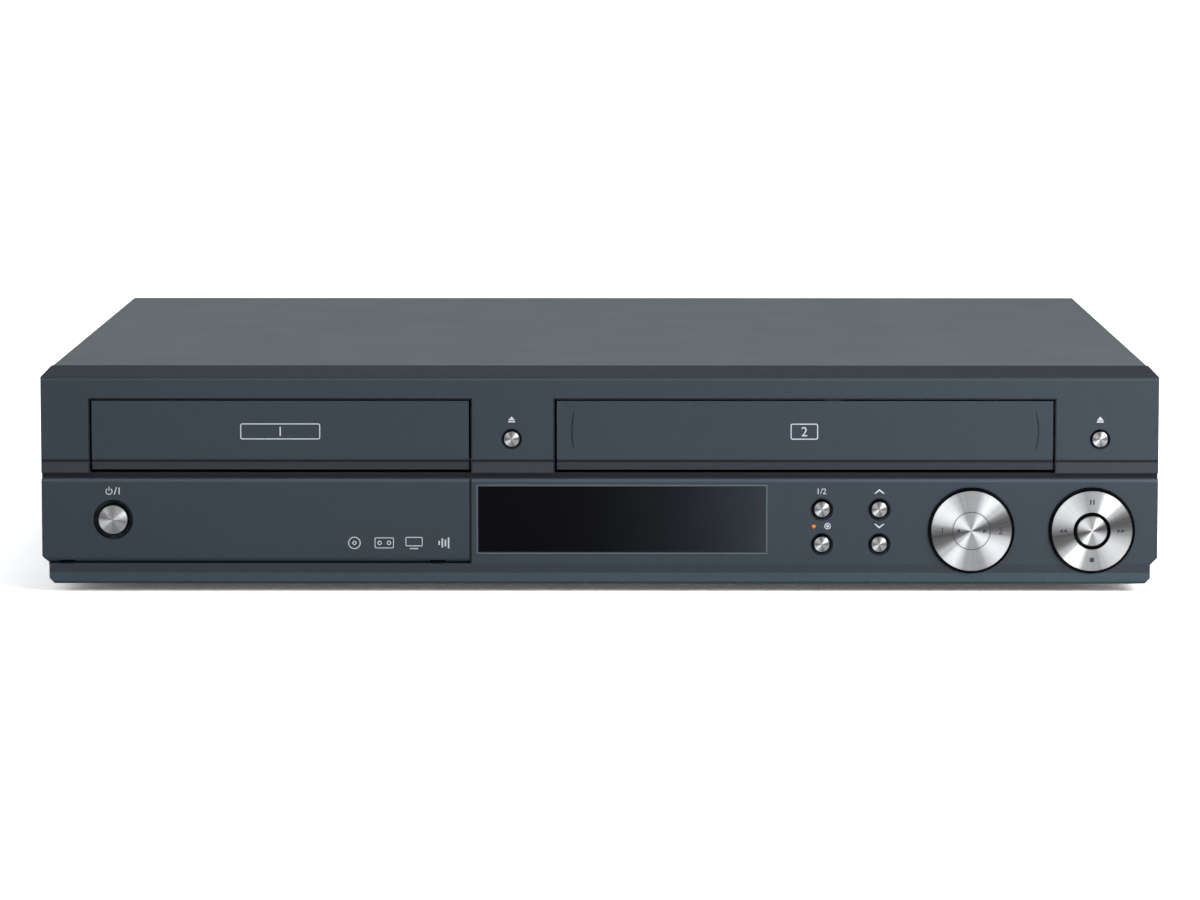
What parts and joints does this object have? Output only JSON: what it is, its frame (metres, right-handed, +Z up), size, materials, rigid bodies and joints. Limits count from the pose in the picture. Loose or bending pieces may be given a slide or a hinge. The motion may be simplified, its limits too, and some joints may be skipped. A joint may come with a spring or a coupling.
{
  "type": "disc and cassette player",
  "caption": "Hi-fi width combination player: disc tray, front-loading cassette slot, hinged input flap, display, push buttons and tilting dials in a wrapped steel case.",
  "frame": {"origin": "on the surface that the feet stand on, under the middle of the whole player", "axes": "+X to the right of someone facing the front, +Y to the back, +Z up; the front faces -Y"},
  "size_m": [0.43, 0.3552, 0.087],
  "materials": {
    "cover_paint": "fine textured satin paint",
    "front_plastic": "satin moulded plastic",
    "key_metal": "spun",
    "window": "polished",
    "steel": "zinc-plated sheet",
    "black_plastic": "moulded",
    "grey_plastic": "moulded",
    "board": "solder mask",
    "rubber": "matt",
    "brass": "turned",
    "lamp": "clear tinted",
    "bright_steel": "turned",
    "screen_can": "tinned"
  },
  "bodies": {
    "casing": {"case_screws": "steel", "chassis_pan": "steel", "clamp_bridge": "steel", "control_boards": "board", "deck_plate": "steel", "display_tube": "black_plastic", "display_window": "window", "drive_belt": "rubber", "drive_bracket": "steel", "drum_base": "bright_steel", "fan_frame": "black_plastic", "feet": "rubber", "front_panel": "front_plastic", "input_jacks": "black_plastic", "jack_unit": "black_plastic", "key_switches": "black_plastic", "loader_frame": "black_plastic", "main_boards": "board", "mains_inlet": "black_plastic", "rear_panel": "steel", "record_lamp": "lamp", "slot_plates": "steel", "tape_heads": "screen_can", "top_cover": "cover_paint", "tray_motor": "steel", "tuner": "screen_can"},
    "input_flap": {"input_flap": "front_plastic"},
    "cassette_flap": {"cassette_flap": "front_plastic"},
    "tray": {"disc_tray": "grey_plastic", "tray_fascia": "front_plastic"},
    "tray_gear": {"tray_drive_gear": "grey_plastic"},
    "motor_pulley": {"motor_pulley": "grey_plastic"},
    "traverse": {"traverse_plate": "steel"},
    "turntable": {"turntable": "black_plastic"},
    "sled": {"pickup_sled": "black_plastic"},
    "lead_screw": {"lead_screw": "bright_steel"},
    "clamper": {"clamper": "grey_plastic"},
    "shuttle": {"carriage_shuttle": "steel"},
    "holder": {"cassette_holder": "steel"},
    "drum_rotor": {"drum_rotor": "bright_steel"},
    "capstan": {"capstan": "bright_steel"},
    "pinch_arm": {"pinch_arm": "steel"},
    "pinch_roller": {"pinch_roller": "rubber"},
    "supply_reel": {"supply_reel": "grey_plastic"},
    "take_up_reel": {"take_up_reel": "grey_plastic"},
    "supply_guide": {"supply_guide": "brass"},
    "take_up_guide": {"take_up_guide": "brass"},
    "power_button": {"power_button": "key_metal"},
    "disc_open_button": {"disc_open_button": "key_metal"},
    "tape_eject_button": {"tape_eject_button": "key_metal"},
    "select_button": {"select_button": "key_metal"},
    "record_button": {"record_button": "key_metal"},
    "channel_up_button": {"channel_up_button": "key_metal"},
    "channel_down_button": {"channel_down_button": "key_metal"},
    "copy_rocker": {"copy_rocker": "key_metal"},
    "ring_gimbal": {"ring_gimbal": "black_plastic"},
    "play_ring": {"play_ring": "key_metal"},
    "play_button": {"play_button": "key_metal"},
    "fan_rotor": {"fan_rotor": "black_plastic"}
  },
  "joints": [
    {"name": "tray_slide", "type": "slide", "parent": "casing", "child": "tray", "axis": [0, -1, 0], "range_m": [0, 0.135]},
    {"name": "tray_gear_spin", "type": "hinge", "parent": "casing", "child": "tray_gear", "pos_m": [-0.17185, -0.14655, 0.056], "axis": [0, 0, 1], "range_deg": [0, 865]},
    {"name": "motor_pulley_spin", "type": "hinge", "parent": "casing", "child": "motor_pulley", "pos_m": [-0.18135, -0.11655, 0.0544], "axis": [0, 0, 1], "range_deg": [0, 3228]},
    {"name": "traverse_lift", "type": "hinge", "parent": "casing", "child": "traverse", "pos_m": [-0.12285, -0.00955, 0.0489], "axis": [-1, 0, 0], "range_deg": [0, 5.5]},
    {"name": "disc_spin", "type": "hinge", "parent": "traverse", "child": "turntable", "pos_m": [-0.12285, -0.10055, 0.0567], "axis": [0, 0, 1], "continuous": true},
    {"name": "clamper_spin", "type": "hinge", "parent": "casing", "child": "clamper", "pos_m": [-0.12285, -0.10055, 0.077], "axis": [0, 0, 1], "continuous": true},
    {"name": "sled_slide", "type": "slide", "parent": "traverse", "child": "sled", "axis": [0, 1, 0], "range_m": [0, 0.033]},
    {"name": "lead_screw_spin", "type": "hinge", "parent": "traverse", "child": "lead_screw", "pos_m": [-0.09335, -0.08055, 0.0508], "axis": [0, 1, 0], "range_deg": [0, 3966]},
    {"name": "cassette_flap_hinge", "type": "hinge", "parent": "casing", "child": "cassette_flap", "pos_m": [0.079, -0.16855, 0.0794], "axis": [1, 0, 0], "range_deg": [0, 90], "stiffness_Nm_per_rad": 0.004, "springref_deg": -45.84},
    {"name": "carriage_slide", "type": "slide", "parent": "casing", "child": "shuttle", "axis": [0, 1, 0], "range_m": [0, 0.06]},
    {"name": "holder_drop", "type": "slide", "parent": "shuttle", "child": "holder", "axis": [0, 0, -1], "range_m": [0, 0.022]},
    {"name": "drum_spin", "type": "hinge", "parent": "casing", "child": "drum_rotor", "pos_m": [0.071, 0.02245, 0.023], "axis": [0, -0.1045, 0.9945], "continuous": true},
    {"name": "capstan_spin", "type": "hinge", "parent": "casing", "child": "capstan", "pos_m": [0.126, -0.00055, 0.018], "axis": [0, 0, 1], "continuous": true},
    {"name": "pinch_swing", "type": "hinge", "parent": "casing", "child": "pinch_arm", "pos_m": [0.153, 0.01545, 0.021], "axis": [0, 0, -1], "range_deg": [0, 20], "stiffness_Nm_per_rad": 0.02, "springref_deg": -11.46},
    {"name": "pinch_roller_spin", "type": "hinge", "parent": "pinch_arm", "child": "pinch_roller", "pos_m": [0.13954, -0.00442, 0.0354], "axis": [0, 0, 1], "continuous": true},
    {"name": "supply_reel_spin", "type": "hinge", "parent": "casing", "child": "supply_reel", "pos_m": [0.033, -0.07255, 0.018], "axis": [0, 0, 1], "continuous": true},
    {"name": "take_up_reel_spin", "type": "hinge", "parent": "casing", "child": "take_up_reel", "pos_m": [0.125, -0.07255, 0.018], "axis": [0, 0, 1], "continuous": true},
    {"name": "supply_guide_slide", "type": "slide", "parent": "casing", "child": "supply_guide", "axis": [-0.3714, 0.9285, 0], "range_m": [0, 0.05385]},
    {"name": "take_up_guide_slide", "type": "slide", "parent": "casing", "child": "take_up_guide", "axis": [0.3714, 0.9285, 0], "range_m": [0, 0.05385]},
    {"name": "input_flap_hinge", "type": "hinge", "parent": "casing", "child": "input_flap", "pos_m": [-0.13, -0.17195, 0.014], "axis": [1, 0, 0], "range_deg": [0, 90]},
    {"name": "power_press", "type": "slide", "parent": "casing", "child": "power_button", "axis": [0, 1, 0], "range_m": [0, 0.0008], "stiffness_N_per_m": 600, "springref_m": -0.0006},
    {"name": "disc_open_press", "type": "slide", "parent": "casing", "child": "disc_open_button", "axis": [0, 1, 0], "range_m": [0, 0.0008], "stiffness_N_per_m": 600, "springref_m": -0.0006},
    {"name": "tape_eject_press", "type": "slide", "parent": "casing", "child": "tape_eject_button", "axis": [0, 1, 0], "range_m": [0, 0.0008], "stiffness_N_per_m": 600, "springref_m": -0.0006},
    {"name": "select_press", "type": "slide", "parent": "casing", "child": "select_button", "axis": [0, 1, 0], "range_m": [0, 0.0008], "stiffness_N_per_m": 600, "springref_m": -0.0006},
    {"name": "record_press", "type": "slide", "parent": "casing", "child": "record_button", "axis": [0, 1, 0], "range_m": [0, 0.0008], "stiffness_N_per_m": 600, "springref_m": -0.0006},
    {"name": "channel_up_press", "type": "slide", "parent": "casing", "child": "channel_up_button", "axis": [0, 1, 0], "range_m": [0, 0.0008], "stiffness_N_per_m": 600, "springref_m": -0.0006},
    {"name": "channel_down_press", "type": "slide", "parent": "casing", "child": "channel_down_button", "axis": [0, 1, 0], "range_m": [0, 0.0008], "stiffness_N_per_m": 600, "springref_m": -0.0006},
    {"name": "play_press", "type": "slide", "parent": "casing", "child": "play_button", "axis": [0, 1, 0], "range_m": [0, 0.0008], "stiffness_N_per_m": 600, "springref_m": -0.0006},
    {"name": "copy_rock", "type": "hinge", "parent": "casing", "child": "copy_rocker", "pos_m": [0.1432, -0.16605, 0.0242], "axis": [0, 0, 1], "range_deg": [-2.5, 2.5], "stiffness_Nm_per_rad": 0.3},
    {"name": "ring_tilt_upright", "type": "hinge", "parent": "casing", "child": "ring_gimbal", "pos_m": [0.1896, -0.16605, 0.0242], "axis": [1, 0, 0], "range_deg": [-2.5, 2.5], "stiffness_Nm_per_rad": 0.3},
    {"name": "ring_tilt_sideways", "type": "hinge", "parent": "ring_gimbal", "child": "play_ring", "pos_m": [0.1896, -0.16605, 0.0242], "axis": [0, 0, 1], "range_deg": [-2.5, 2.5], "stiffness_Nm_per_rad": 0.3},
    {"name": "fan_spin", "type": "hinge", "parent": "casing", "child": "fan_rotor", "pos_m": [-0.13, 0.15775, 0.056], "axis": [0, 1, 0], "continuous": true}
  ],
  "couplings": [
    {"joint": "tray_gear_spin", "follows": "tray_slide", "rad_per_m": 111.11},
    {"joint": "motor_pulley_spin", "follows": "tray_slide", "rad_per_m": 416.67},
    {"joint": "clamper_spin", "follows": "disc_spin", "ratio": 1},
    {"joint": "lead_screw_spin", "follows": "sled_slide", "rad_per_m": 2094.4},
    {"joint": "take_up_guide_slide", "follows": "supply_guide_slide", "ratio": 1}
  ]
}
